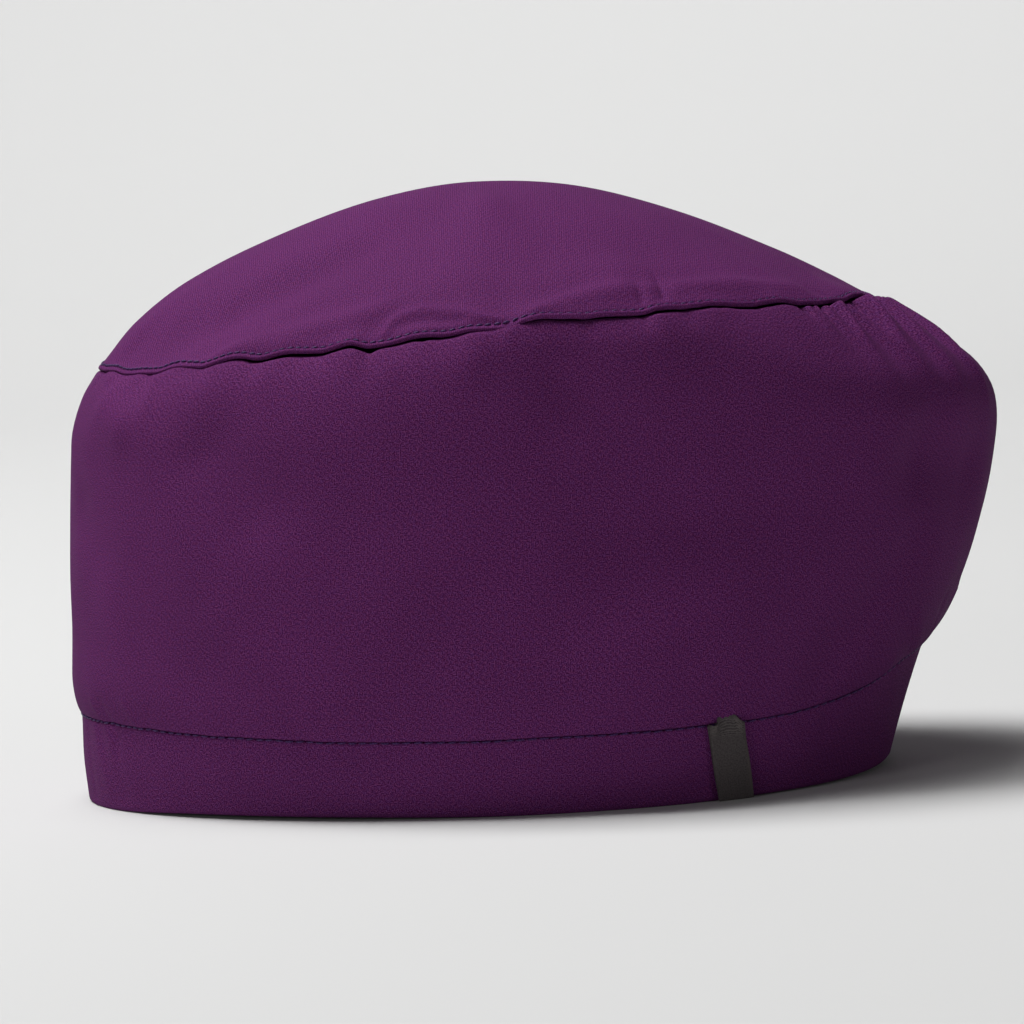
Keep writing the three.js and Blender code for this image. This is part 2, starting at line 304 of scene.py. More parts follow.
wallFolds = table(
    foldColumns,
    # the puff at the front, with the crease and the dents round it
    (24, 91, 31, 86, 7, 7, 1.6, 1.8),
    (34.5, 99, 36, 86, 1.4, 2.2, 0.5, 0.5),
    (36, 86, 39, 72, 2.2, 3.6, 0.5, 0),
    (51, 77, 57, 62, 13, 13, -3, -2.4),
    (17, 60, 24, 50, 9, 9, -0.9, -0.7),
    # puckers that come out from under the seam
    (47, 100, 48.5, 94, 1.6, 2.6, 0.4, 0),
    (51.5, 100, 52, 95, 1.4, 2.2, -0.35, 0),
    (56, 100, 58.5, 91, 2, 3.6, 0.55, 0),
    (62, 100, 62.5, 95, 1.6, 2.6, -0.35, 0),
    (66.5, 100, 67, 94, 2, 3.2, 0.4, 0),
    (70.6, 100, 71.5, 93, 1.5, 2.6, 0.5, 0),
    (75, 100, 77, 88, 2, 4, 0.7, 0),
    (79.5, 100, 80, 95, 1.4, 2.4, 0.35, 0),
    (83.2, 100, 84.5, 93, 1.7, 3.2, 0.45, 0),
    (87.5, 101, 90, 91, 2.6, 4.6, 0.7, 0),
    (92.6, 101, 92, 94, 2.2, 3.6, 0.6, 0),
    (98.5, 100, 100, 94, 1.8, 3.2, 0.35, 0),
    (105, 100, 105.5, 94, 1.8, 3, 0.3, 0),
    (113, 100, 113.5, 90, 2.6, 4.2, 0.6, 0),
    (121, 100, 121.5, 94, 2, 3.4, 0.3, 0),
    (131, 100, 130.5, 93, 2.4, 4, 0.4, 0),
    # broad hollows and bulges of the near side
    (91, 88, 97, 85, 8, 9, -1.4, -2),
    (101, 79, 104, 76, 15, 15, -5, -4.6),
    (104, 76, 122, 82, 15, 11, -4.6, -0.3),
    (126, 84, 142, 74, 9, 10, 1, 1.4),
    (104, 48, 113, 50, 13, 13, -4.4, -4.4),
    (113, 50, 128, 56, 13, 12, -4.4, -0.6),
    (104, 18, 117, 21, 12, 13, 2.6, 3.4),
    (117, 21, 130, 28, 13, 12, 3.4, 0.6),
    (84, 14, 106, 18, 10, 12, 1.4, 1.6),
    (76, 34, 88, 54, 10, 11, 0.7, 0.3),
    (148, 58, 160, 52, 12, 12, -3.8, -3.2),
    (133, 10, 146, 34, 7, 8, -1.4, -1.3),
    (52, 30, 66, 12, 9, 9, 0.9, 0.9),
    # gathers at the nape, fanning down and back over the pouch: fine ridges on broader swells
    (140.6, 101, 138.2, 92, 0.8, 1.8, -1.1, -0.1),
    (144.1, 101, 140.8, 86, 0.8, 2, -1.3, -0.2),
    (147.2, 101, 143.5, 88, 0.8, 1.9, -1.1, -0.2),
    (152.4, 101, 147.5, 84, 0.9, 2.1, -1.4, -0.2),
    (155, 101, 151, 90, 0.8, 1.8, -1, -0.1),
    (162.6, 100, 155.5, 84, 0.9, 2, -0.8, -0.2),
    (141, 101, 137.5, 89, 1.4, 3, 1.01, 0),
    (143.4, 101, 140.3, 91, 1, 2.2, 0.8, 0),
    (148.2, 101, 143, 84, 3.2, 4.5, 1.09, 0.14),
    (149.7, 101, 144.6, 90, 1.1, 1.5, 0.87, 0.72),
    (144.6, 90, 142, 76, 1.5, 2.8, 0.72, 0),
    (150.8, 100, 146.4, 84, 1.6, 3.2, -1.7, -0.3),
    (153, 101, 149, 90, 1.1, 2, 0.72, 0),
    (159, 101, 152, 82, 3.4, 5, 1.3, 0.29),
    (160.2, 101, 152.2, 88.5, 1.2, 1.7, 0.94, 0.8),
    (152.2, 88.5, 150, 72, 1.7, 3, 0.8, 0),
    (163.2, 99, 155, 82, 1.8, 3.6, -1.6, -0.4),
    (168, 101, 160, 80, 3.5, 5, 1.3, 0.43),
    (169, 101, 160.4, 89, 1.3, 1.7, 0.87, 0.8),
    (160.4, 89, 156, 68, 1.7, 3.2, 0.8, 0),
    (172.5, 98, 163, 80, 1.9, 3.6, -1.2, -0.4),
    (179, 98, 167, 80, 3.6, 5, 1.16, 0.43),
    (180, 98, 167, 83, 1.5, 2, 0.72, 0.8),
    (167, 83, 167.2, 62, 2, 3.4, 0.8, 0),
    (184, 100, 178, 84, 1.8, 3.4, -1.01, -0.14),
    (188, 98, 180, 76, 3, 4.5, 1.01, 0),
    # the far side's gathers
    (193, 100, 191, 82, 1.8, 3.4, -1.01, -0.14),
    (198, 101, 200, 80, 3.2, 4.8, 1.3, 0.29),
    (199, 101, 203, 82, 1.3, 2.2, 0.72, 0.29),
    (204.5, 100, 208, 86, 1.7, 3.2, -1.16, 0),
    (209, 101, 214, 82, 3, 4.5, 1.3, 0.14),
    (210.5, 101, 217.5, 84, 1.2, 2.4, 0.87, 0.14),
    (214, 100, 218, 89, 1.5, 3, -1.01, 0),
    (218, 101, 222, 90, 1.4, 3, 1.01, 0),
    (222.5, 101, 225.5, 92, 1.2, 2.6, 0.72, 0),
    # the far side's puff, puckers and hollows
    (324, 86, 346, 83, 10, 9, 0.9, 0.9),
    (318, 98, 322, 76, 4, 6.5, -0.9, -0.3),
    (234, 100, 233, 93, 1.8, 3.2, 0.4, 0),
    (240, 100, 238, 91, 2.4, 4.5, 0.5, 0),
    (246, 100, 246, 94, 1.5, 2.6, -0.4, 0),
    (252, 100, 252, 92, 2.4, 4, 0.5, 0),
    (263, 100, 264, 90, 2.8, 4.5, 0.6, 0),
    (270, 100, 270, 94, 1.6, 2.8, -0.4, 0),
    (278, 100, 276, 91, 2.6, 4, 0.5, 0),
    (290, 100, 289, 92, 2.2, 4, 0.5, 0),
    (303, 100, 301, 92, 2.4, 4, 0.5, 0),
    (250, 84, 266, 88, 14, 13, -1.2, -0.9),
    (228, 44, 262, 20, 13, 12, 1.1, 0.9),
    (292, 70, 306, 56, 13, 13, -0.6, -0.5),
    # creases where the pouch meets the hem
    (141.7, 13, 150.5, 4, 1.8, 1.6, 0.5, 0.35),
    (147, 17, 157, 4, 1.7, 1.6, -0.5, -0.35),
    (153, 15, 161, 3, 2, 1.6, 0.5, 0.3),
    (165, 14, 169, 1, 2.4, 2, -0.5, -0.3),
    (176, 15, 178, 1, 2.6, 2.2, 0.5, 0.3),
    (190, 14, 187, 1, 2.4, 2, -0.5, -0.3),
    (204, 14, 197, 2, 2.2, 1.8, 0.4, 0.2),
    (214, 15, 205, 3, 1.8, 1.6, -0.4, -0.2),
    # the hem's own waves, and pulls of the cloth across its stitches
    (12.5, -3, 13.5, -16, 2.2, 2.6, -0.3, -0.25),
    (17, -2, 20.5, -15, 2, 2.4, 0.3, 0.25),
    (25, -4, 26, -16, 2.4, 3, -0.25, -0.2),
    (19, 6, 23, -5, 1.3, 1.6, 0.35, 0.3),
    (22.5, 6, 25.5, -4, 1.2, 1.4, -0.35, -0.3),
    (30, 7, 34.5, -5, 1.5, 1.8, 0.35, 0.3),
    (36.5, 7, 33.5, -3, 1.3, 1.4, -0.3, -0.2),
    (47, 5, 49, -5, 1.6, 1.8, 0.2, 0.2),
    (56.5, 7, 60, -2, 1.4, 1.5, 0.3, 0.2),
    (60, 6, 63.5, -4, 1.3, 1.5, -0.4, -0.35),
    (63, 8, 66, -4, 1.5, 1.8, 0.4, 0.3),
    (67.5, 5, 70.5, -3, 1.3, 1.5, -0.25, -0.2),
    (78, 5, 80, -5, 1.6, 1.8, 0.15, 0.15),
    (99, 4, 101, -4, 1.5, 1.5, -0.2, -0.2),
    (110, 4, 109, -4, 1.5, 1.5, 0.2, 0.2),
    (128, 5, 131, -5, 1.6, 1.8, 0.3, 0.25),
    (136, 5, 138, -6, 1.6, 1.8, -0.3, -0.25),
    (60, -10, 112, -12, 6, 6, 0.35, 0.35),
    (285, 5, 288, -5, 1.6, 1.8, 0.3, 0.25),
    (305, 5, 301, -5, 1.6, 1.8, -0.3, -0.25),
    (330, 5, 334, -5, 1.5, 1.8, 0.3, 0.25),
    (230, 5, 233, -5, 1.6, 1.8, 0.3, 0.25),
    (258, 5, 256, -5, 1.6, 1.8, -0.25, -0.2),
)
# Dark notches between the gathers, pinched in right under the seam
seamNotches = table(
    "angle across along depth",
    (31.5, 1.3, 2, 0.4),
    (53.5, 1.2, 2.2, 0.4),
    (72.6, 1.2, 2.6, 1),
    (80, 1.4, 2.2, 0.5),
    (96, 1.4, 2, 0.4),
    (111.3, 1.2, 2.2, 0.5),
    (139.4, 1.2, 3, 1.3),
    (142.2, 0.9, 3, 1.3),
    (144.3, 0.9, 2.6, 1.2),
    (150.3, 1, 3.4, 1.4),
    (153.6, 1, 3, 1.1),
    (163.4, 1.2, 3.2, 1),
    (173.5, 1.2, 3, 0.8),
    (184, 1.2, 3, 0.8),
    (195.5, 1.2, 3.2, 1),
    (206, 1.3, 3.2, 1.4),
    (215, 1, 3, 1.3),
    (219.2, 1, 3, 1.2),
    (258, 1.4, 2.4, 0.6),
    (296, 1.4, 2.4, 0.6),
)
crownFolds = table(
    foldColumns,
    # the long hollow over the forehead, and the ridge below it that falls to the stitches
    (20, 109, 40, 101, 8, 10, -1.4, -2.4),
    (40, 101, 50, 86, 10, 11, -2.4, -2.3),
    (50, 86, 66, 62, 11, 13, -2.3, -0.3),
    (84, 92, 92, 48, 19, 20, 1.8, 1.6),
    (42, 114, 48.6, 111.6, 1.6, 2.4, 0.2, 0.6),
    (48.6, 111.6, 53.7, 109.8, 2.4, 3.2, 0.6, 0.9),
    (53.7, 109.8, 58.4, 108.2, 3.2, 4.2, 0.9, 1.2),
    (58.4, 108.2, 63.3, 106.5, 4.2, 4.6, 1.2, 1.4),
    (63.3, 106.5, 68.2, 104.5, 4.6, 4.6, 1.4, 1.5),
    (68.2, 104.5, 72, 102.2, 4.6, 3.8, 1.5, 1.2),
    (72, 102.2, 76, 98, 3.8, 3, 1.2, 0.2),
    # the crescent pinched up behind the stitches
    (74.4, 111.6, 74.9, 108, 1.2, 1.5, 0.6, 0.9),
    (74.9, 108, 76.4, 106.4, 1.5, 1.7, 0.9, 1),
    (76.4, 106.4, 79.2, 105.7, 1.7, 1.9, 1, 1.1),
    (79.2, 105.7, 82.3, 106.4, 1.9, 1.9, 1.1, 1),
    (82.3, 106.4, 85.3, 108.3, 1.9, 1.7, 1, 0.8),
    (85.3, 108.3, 91.2, 112.6, 1.7, 1.3, 0.8, 0.5),
    (77.5, 109.6, 86, 110.9, 2, 1.4, -0.4, -0.4),
    # the swell above the stitches behind the gap, and the pinches over it
    (98, 98, 113, 95, 8, 9, 0.7, 0.9),
    (96, 111.4, 101, 107.9, 1.8, 3.2, 0.4, 1),
    (101, 107.9, 106, 106, 3.2, 4.4, 1, 1.7),
    (106, 106, 111, 105, 4.4, 4.8, 1.7, 1.8),
    (111, 105, 115.5, 106, 4.8, 3.4, 1.8, 0.9),
    (112.3, 111.5, 113.4, 103.4, 0.7, 0.9, -0.5, -0.3),
    (114, 110.5, 115, 105, 0.8, 1.2, 0.35, 0.2),
    (115.9, 111, 118, 99.5, 0.7, 1.1, -0.6, -0.25),
    (118, 98, 142, 100, 8, 8, 0.7, 0.5),
    (118.2, 109, 120, 106.2, 2, 3.8, 0.5, 1.2),
    (120, 106.2, 130, 105.8, 3.8, 4.2, 1.2, 1.2),
    (130, 105.8, 145, 107.8, 4.2, 3.4, 1.2, 0.6),
    (150, 113, 146, 105, 2.4, 3.6, -0.4, 0),
    # the far side's
    (296, 104, 314, 96, 11, 11, -1.2, -0.9),
    (282, 112, 270, 104, 3.4, 5, 0.6, 0.3),
    (262, 108, 246, 108, 2.6, 2.6, 0.5, 0.4),
    (247, 112, 244, 106, 1.2, 1.8, -0.5, 0),
    (232, 112, 230, 106, 1.4, 2.2, -0.4, 0),
    (206, 112, 206, 104, 2.4, 3.6, -0.4, 0),
)

# Lengths round the cap from the nape, measured along the wall at its fullest
fullestShare = 0.6
arcAngles = np.linspace(-180, 180, 1441)
arcLengths = lengthsAlong(wallPoint(arcAngles, fullestShare))
arcTotal = arcLengths[-1]


def arcAt(angle):
    return np.interp(np.mod(np.asarray(angle, float) + 180, 360) - 180, arcAngles, arcLengths)


# The shorter way round the cap
def shortWay(distance):
    return np.mod(distance + arcTotal / 2, arcTotal) - arcTotal / 2


def foldField(folds, angle, up):
    along = arcAt(angle)
    total = np.zeros(np.broadcast(angle, up).shape)
    fold, foldEnd = np.zeros_like(total), None
    for angle1, up1, angle2, up2, across1, across2, height1, height2 in zip(*folds.values()):
        aside, endAside = shortWay(along - arcAt(angle1)), shortWay(arcAt(angle2) - arcAt(angle1))
        rise, endRise = up - up1, up2 - up1
        t = np.clip((aside * endAside + rise * endRise) / (endAside**2 + endRise**2), 0, 1)
        gap = np.hypot(aside - t * endAside, rise - t * endRise)
        part = (height1 + (height2 - height1) * t) * bellCurve(gap, across1 + (across2 - across1) * t)
        if foldEnd == (angle1, up1):
            fold = np.where(np.abs(part) > np.abs(fold), part, fold)
        else:
            total += fold
            fold = part
        foldEnd = (angle2, up2)
    return total + fold


# A faint unevenness of the cloth: slow waves that run both ways
unevenWaves = table(
    "aroundTurns upPitch phase",
    (17, 62, 0.4),
    (11, -47, 2.1),
    (29, 38, 1.2),
    (23, -81, 4.4),
    (41, 55, 3.3),
)


def unevenness(along, up, height):
    total = 0
    for turns, pitch, phase in zip(*unevenWaves.values()):
        total = total + np.sin(2 * np.pi * (turns * along / arcTotal + up / pitch) + phase)
    return total * height / len(unevenWaves["phase"])


# Small uneven scallops along a seam, where the thread has drawn the cloth in, each a few millimetres long
def scallops(along, count, shortest, longest):
    total = np.zeros(np.shape(along))
    for place in np.linspace(0, arcTotal, count, endpoint=False):
        centre = place + rng.uniform(-0.4, 0.4) * arcTotal / count
        across = rng.uniform(shortest, longest)
        height = rng.choice((-1, 1)) * rng.uniform(0.4, 1)
        total = total + height * bellCurve(shortWay(along - centre), across)
    return total


# Outward directions of a grid whose rows go up the cloth and whose columns go round the cap
def outwardOf(grid):
    around = np.roll(grid, -1, 1) - np.roll(grid, 1, 1)
    return unit(np.cross(around, np.gradient(grid, axis=0)))


# Columns of every sheet, closer together over the gathers
skin = {
    "columns": 896,
    "gathersAt": 152,
    "gathersAcross": 22,
    "gathersDensity": 0.7,
}
fineAngles = np.linspace(-180, 180, 3601)
fromGathers = np.abs(fineAngles) - skin["gathersAt"]
columnWeight = 1 + skin["gathersDensity"] * bellCurve(fromGathers, skin["gathersAcross"])
columnCount = np.concatenate([[0], np.cumsum((columnWeight[1:] + columnWeight[:-1]) / 2)])
angles = np.interp(np.arange(skin["columns"]) / skin["columns"] * columnCount[-1], columnCount, fineAngles)
columnArc = arcAt(angles)
seamScallops = scallops(columnArc, 74, 1.6, 3.6)
hemScallops = scallops(columnArc, 64, 1.6, 4.2)
proud = readCurve(edgeProudness, "angle", "proud", np.mod(angles, 180), True, True)


# Faces between two rings of a sheet, where one may have half as many points, or be a single tip
def bridge(first, second):
    n, m = len(first), len(second)
    if n == m:
        return np.stack([first, np.roll(first, -1), np.roll(second, -1), second], 1).tolist()
    if m == 1:
        return np.stack([first, np.roll(first, -1), np.full(n, second[0])], 1).tolist()
    if n == 1:
        return np.stack([np.full(m, first[0]), np.roll(second, -1), second], 1).tolist()
    fine, coarse, order = (first, second, 1) if n > m else (second, first, -1)
    j = np.arange(len(coarse))
    a, b, c = fine[2 * j], fine[2 * j + 1], fine[(2 * j + 2) % len(fine)]
    low, high = coarse, np.roll(coarse, -1)
    faces = []
    for triangle in ((a, b, low), (b, high, low), (b, c, high)):
        faces += np.stack(triangle[::order], 1).tolist()
    return faces


# One mesh from points in millimetres, with the cloth's own flat coordinates as its UV map, in metres
def makeMesh(name, points, faces, flatPlaces, wrap=None):
    mesh = bpy.data.meshes.new(name)
    mesh.from_pydata((np.asarray(points) * mm).tolist(), [], faces)
    flatMap = mesh.uv_layers.new(name="cloth")
    corners = np.empty(len(mesh.loops), int)
    mesh.loops.foreach_get("vertex_index", corners)
    places = np.asarray(flatPlaces, float)[corners]
    if wrap:
        starts = np.empty(len(mesh.polygons), int)
        totals = np.empty(len(mesh.polygons), int)
        mesh.polygons.foreach_get("loop_start", starts)
        mesh.polygons.foreach_get("loop_total", totals)
        highest = np.repeat(np.maximum.reduceat(places[:, 0], starts), totals)
        places[:, 0] += wrap * (highest - places[:, 0] > wrap / 2)
    flatMap.data.foreach_set("uv", (places * mm).ravel())
    mesh.polygons.foreach_set("use_smooth", [True] * len(mesh.polygons))
    mesh.update()
    piece = bpy.data.objects.new(name, mesh)
    bpy.context.collection.objects.link(piece)
    return piece


# A closed sheet from rings of points, each with its flat coordinates, up the outside and down the inside
def makeSheet(name, rings, wrap=None):
    points = np.concatenate([ring for ring, _ in rings])
    flat = np.concatenate([place for _, place in rings])
    faces = []
    firsts = np.cumsum([0] + [len(ring) for ring, _ in rings])
    ids = [np.arange(firsts[i], firsts[i + 1]) for i in range(len(rings))]
    for i, ring in enumerate(ids):
        following = ids[(i + 1) % len(ids)]
        if len(ring) > 1 or len(following) > 1:
            faces += bridge(ring, following)
    return makeMesh(name, points, faces, flat, wrap)

# Materials
clothLook = {
    "colour": (0.082, 0.0138, 0.080),
    "darkThread": (0.031, 0.002, 0.029),
    # the palest threads, paler and greyer than the dye: thread colour with a painted glint of the threads'
    # shine
    "lightThreadAndGlint": (0.15, 0.04, 0.146),
    "redShift": (1.1, 1.0, 0.95),
    "blueShift": (0.92, 1.0, 1.08),
    "patches": (0.95, 1.05),  # how much darker and lighter the cloth is from place to place
    "roughness": 0.8,
    "specular": 0.04,
    "grainScale": 3300.0,
    "dyeScale": 1300.0,
    "patchScale": 30.0,
    "relief": 0.00005,
}
wallWeave = {"ribPitch": 0.0005, "twillPitch": 0.00047, "ribShare": 0.08, "twillShare": 0.07}
crownWeave = {"ribPitch": 0.00052, "twillPitch": 0.0005, "ribShare": 0.26, "twillShare": 0.06}


# A node with its settings and its inputs, each of them a value or the socket that feeds it
def addNode(tree, kind, inputs, **settings):
    node = tree.nodes.new(kind)
    for key, value in settings.items():
        setattr(node, key, value)
    for key, value in inputs.items():
        if isinstance(value, bpy.types.NodeSocket):
            tree.links.new(value, node.inputs[key])
        else:
            node.inputs[key].default_value = value
    return node


def addMath(tree, operation, *terms):
    return addNode(tree, "ShaderNodeMath", dict(enumerate(terms)), operation=operation).outputs[0]


def addFade(tree, value, start, end, first=0.0, last=1.0):
    inputs = {"Value": value, "From Min": start, "From Max": end, "To Min": first, "To Max": last}
    return addNode(tree, "ShaderNodeMapRange", inputs).outputs["Result"]


def addNoise(tree, place, scale, detail):
    inputs = {"Vector": place, "Scale": scale, "Detail": detail}
    return addNode(tree, "ShaderNodeTexNoise", inputs).outputs["Fac"]


def addRamp(tree, amount, first, last, *between):
    ramp = addNode(tree, "ShaderNodeValToRGB", {"Fac": amount})
    elements = ramp.color_ramp.elements
    for i, (position, colour) in enumerate((first, last)):
        elements[i].position = position
        elements[i].color = (*colour, 1)
    for position, colour in between:
        elements.new(position).color = (*colour, 1)
    return ramp.outputs["Color"]


def newMaterial(name, look):
    material = bpy.data.materials.new(name)
    material.use_nodes = True
    material.diffuse_color = (*look["colour"], 1)
    shader = material.node_tree.nodes["Principled BSDF"]
    shader.inputs["Base Color"].default_value = (*look["colour"], 1)
    shader.inputs["Roughness"].default_value = look["roughness"]
    shader.inputs["Specular IOR Level"].default_value = look["specular"]
    return material, material.node_tree, shader


# The colour and the relief that a material's threads give it
def showThreads(tree, shader, colour, height, relief, strength):
    bump = addNode(tree, "ShaderNodeBump", {"Height": height, "Distance": relief, "Strength": strength})
    tree.links.new(colour, shader.inputs["Base Color"])
    tree.links.new(bump.outputs["Normal"], shader.inputs["Normal"])


# Woven cloth: threads crossing at a pitch, a twill diagonal, and threads of slightly different dye
def clothMaterial(name, look, weave):
    material, tree, shader = newMaterial(name, look)
    flat = addNode(tree, "ShaderNodeUVMap", {}, uv_map="cloth").outputs["UV"]
    bandScale = 2 * math.pi / 20  # a wave texture's bands repeat every bandScale / scale
    ribLook = {"Scale": bandScale / weave["ribPitch"], "Distortion": 0.8, "Detail Scale": 2.0}
    twillLook = {"Scale": bandScale / weave["twillPitch"] / 2, "Distortion": 1.4, "Detail Scale": 3.0}
    ribs = addNode(tree, "ShaderNodeTexWave", {"Vector": flat, **ribLook}, bands_direction="X")
    twill = addNode(tree, "ShaderNodeTexWave", {"Vector": flat, **twillLook}, bands_direction="DIAGONAL")
    grain = addFade(tree, addNoise(tree, flat, look["grainScale"], 3.0), 0.34, 0.66)
    ribPart = addMath(tree, "MULTIPLY", ribs.outputs["Fac"], weave["ribShare"])
    twillPart = addMath(tree, "MULTIPLY_ADD", twill.outputs["Fac"], weave["twillShare"], ribPart)
    grainShare = 1 - weave["ribShare"] - weave["twillShare"]
    threads = addMath(tree, "MULTIPLY_ADD", grain, grainShare, twillPart)
    # the weave's light end is greyer than the dye, a painted glint on the threads; its dark end is the
    # threads' own darker colour
    dark, light = (0.12, look["darkThread"]), (0.88, look["lightThreadAndGlint"])
    shade = addRamp(tree, threads, dark, light, (0.5, look["colour"]))
    dye = addNoise(tree, flat, look["dyeScale"], 2.0)
    dyes = addRamp(tree, dye, (0.36, look["redShift"]), (0.64, look["blueShift"]))
    patch = addFade(tree, addNoise(tree, flat, look["patchScale"], 3.0), 0.3, 0.7, *look["patches"])
    dyed = addNode(tree, "ShaderNodeVectorMath", {0: shade, 1: dyes}, operation="MULTIPLY")
    toned = {"Vector": dyed.outputs["Vector"], "Scale": patch}
    tone = addNode(tree, "ShaderNodeVectorMath", toned, operation="SCALE")
    showThreads(tree, shader, tone.outputs["Vector"], threads, look["relief"], 0.6)
    return material


wallCloth = clothMaterial("wall cloth", clothLook, wallWeave)
crownCloth = clothMaterial("crown cloth", clothLook, crownWeave)
print("cloth materials made")

# Hem band: three layers with a rolled rim, dented along the stitch line
hemBand = {
    "thickness": 1.6,
    "rowsOverRim": (0.85, 1.3, 2.0, 3.0, 4.4),
    "middleRows": 8,
    "rowsUnderStitches": (4.0, 3.0, 2.2, 1.6, 1.1, 0.75, 0.5, 0.3, 0.16, 0.08),
    "rollSteps": 7,
    "levelTo": 0.6,  # share of the hem up to which its face is set out level
    "puff": 0.3,
    "unevenness": 0.12,
    "linePuckers": 0.14,
    "puckerReach": 3,
    "lineWobble": 0.14,
    "foldsFrom": 0.12,
}
# The groove in which the hem's stitches lie: how far in the cloth dips at a distance from the line
stitchGroove = table(
    "away dip",
    (0.0, -0.5),
    (0.16, -0.3),
    (0.3, -0.17),
    (0.5, -0.07),
    (0.9, -0.01),
    (1.6, 0.0),
)


def shareLength(pointAt, share, step=0.02):
    return np.linalg.norm(pointAt(angles, share + step) - pointAt(angles, share), axis=-1) / abs(step)


# Shares of every row: some at set distances from the foot, some even ones, and some from the head
def rowShares(pointAt, fromFoot, middleRows, fromHead):
    footLength, headLength = shareLength(pointAt, 0.0), shareLength(pointAt, 1.0, -0.02)
    foot = [distance / footLength for distance in fromFoot]
    head = [1 - distance / headLength for distance in fromHead]
    gap = (head[0] - foot[-1]) / (middleRows + 1)
    middle = [foot[-1] + gap * i for i in range(1, middleRows + 1)]
    return np.array(foot + middle + head)


def linePuckers(up):
    return hemBand["linePuckers"] * hemScallops * bellCurve(up, hemBand["puckerReach"])


def hemGrid(look):
    shares = rowShares(hemPoint, look["rowsOverRim"], look["middleRows"], look["rowsUnderStitches"])
    grid = hemPoint(angles[None, :], shares)
    grid[..., 2] += look["lineWobble"] * hemScallops * smoothStep(0.7, 1, shares)
    outward = outwardOf(grid)
    level = unit(outward * (1, 1, 0))
    outward = level + (outward - level) * smoothStep(look["levelTo"], 1, shares)[..., None]
    up = (shares - 1) * hemSpan
    height = foldField(wallFolds, angles[None, :], up) + look["puff"] * np.sin(np.pi * shares) ** 2
    height = height + unevenness(columnArc[None, :], up, look["unevenness"]) + linePuckers(up)
    height = height * smoothStep(0, look["foldsFrom"], shares)
    height = height + readCurve(stitchGroove, "away", "dip", -up)
    return grid + outward * height[..., None], outward, up


def makeHemBand(look):
    outside, outward, up = hemGrid(look)
    radius = look["thickness"] / 2
    flat = np.stack([np.broadcast_to(columnArc, up.shape), up], -1)
    foot = hemPoint(angles, np.zeros(skin["columns"]))
    rings = []
    for i in range(look["rollSteps"], 0, -1):
        turn = math.pi * i / (look["rollSteps"] + 1)
        rise = np.array((0, 0, 1 - math.sin(turn)))
        point = foot + (outward[0] * (math.cos(turn) - 1) + rise) * radius
        place = np.stack([columnArc, np.full(skin["columns"], -hemSpan - radius * math.sin(turn))], -1)
        rings.append((point, place))
    rings += list(zip(outside, flat))
    for row in range(len(up) - 1, -1, -2):
        rings.append((outside[row] - outward[row] * look["thickness"], flat[row]))
    return makeSheet("hem_band_cloth", rings, arcTotal), outside[-1], outward[-1]


hem, hemTop, hemTopOut = makeHemBand(hemBand)
hem.data.materials.append(wallCloth)
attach(hem, "root")
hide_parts("hem_band")
print("hem band made")

# Side wall: tucked under the crown's edge, gathered at the nape
sideWall = {
    "thickness": 0.9,
    "rowsOverStitches": (0.08, 0.16, 0.3, 0.5, 0.75, 1.1, 1.6, 2.2, 3.0, 4.0),
    "middleRows": 44,
    "rowsUnderSeam": (
        17, 15.2, 13.6, 12.1, 10.7, 9.4, 8.2, 7.1, 6.1, 5.2, 4.4, 3.7, 3.1, 2.5, 2.0, 1.6, 1.2, 0.85, 0.55,
        0.3,
    ),
    "insideRowStep": 3,
    "unevenness": 0.22,
    "unevenFrom": 0.1,
    "seamPuckers": 0.3,
    "puckersBelow": 1.8,
    "puckerReach": 2.6,
    "seamWobble": 0.25,
    "wobbleFrom": 0.9,
    "lineWobbleTo": 0.06,
    "footPuff": 0.8,
    "footPuffUp": 6,
    "heldAtSeam": 0.25,  # share of a fold's height that is left right under the seam
    "freeBelow": 2.2,
}
# How far the wall dips as it goes in under the crown's edge, and how far its puff laps over the edge
seamTuck = table(
    "below dip lap",
    (0.0, -1.5, -0.05),
    (0.25, -1.45, 0.08),
    (0.5, -1.3, 0.17),
    (0.8, -0.95, 0.25),
    (1.15, -0.45, 0.28),
    (1.5, -0.12, 0.27),
    (2.2, 0.02, 0.2),
    (3.6, 0.05, 0.1),
    (6.0, 0.03, 0.03),
    (10.0, 0.0, 0.0),
)


def wallHeights(look, shares, up, below):
    fromLine = smoothStep(0, look["unevenFrom"], shares)
    height = foldField(wallFolds, angles[None, :], up) + linePuckers(up)
    puckers = seamScallops * bellCurve(below - look["puckersBelow"], look["puckerReach"])
    height = height + look["seamPuckers"] * puckers
    height = height + look["footPuff"] * (up / look["footPuffUp"]) * np.exp(1 - up / look["footPuffUp"])
    height = height + unevenness(columnArc[None, :], up, look["unevenness"]) * fromLine
    height = height + unevenness(columnArc[None, :], up - hemSpan, hemBand["unevenness"]) * (1 - fromLine)
    held = look["heldAtSeam"]
    return height * (held + (1 - held) * smoothStep(0, look["freeBelow"], below))


# Small shapes along both seams: the stitches' groove, the tuck under the crown's edge and the notches
def wallDetails(shares, below):
    detail = readCurve(stitchGroove, "away", "dip", shares * shareLength(wallPoint, 0.0))
    detail = detail + readCurve(seamTuck, "below", "dip", below) * np.maximum(proud, 0)
    detail = detail + readCurve(seamTuck, "below", "lap", below) * np.maximum(-proud, 0)
    for angle, across, along, depth in zip(*seamNotches.values()):
        aside = shortWay(columnArc - arcAt(angle))
        detail = detail - depth * bellCurve(aside, across) * bellCurve(below, along)
    return detail


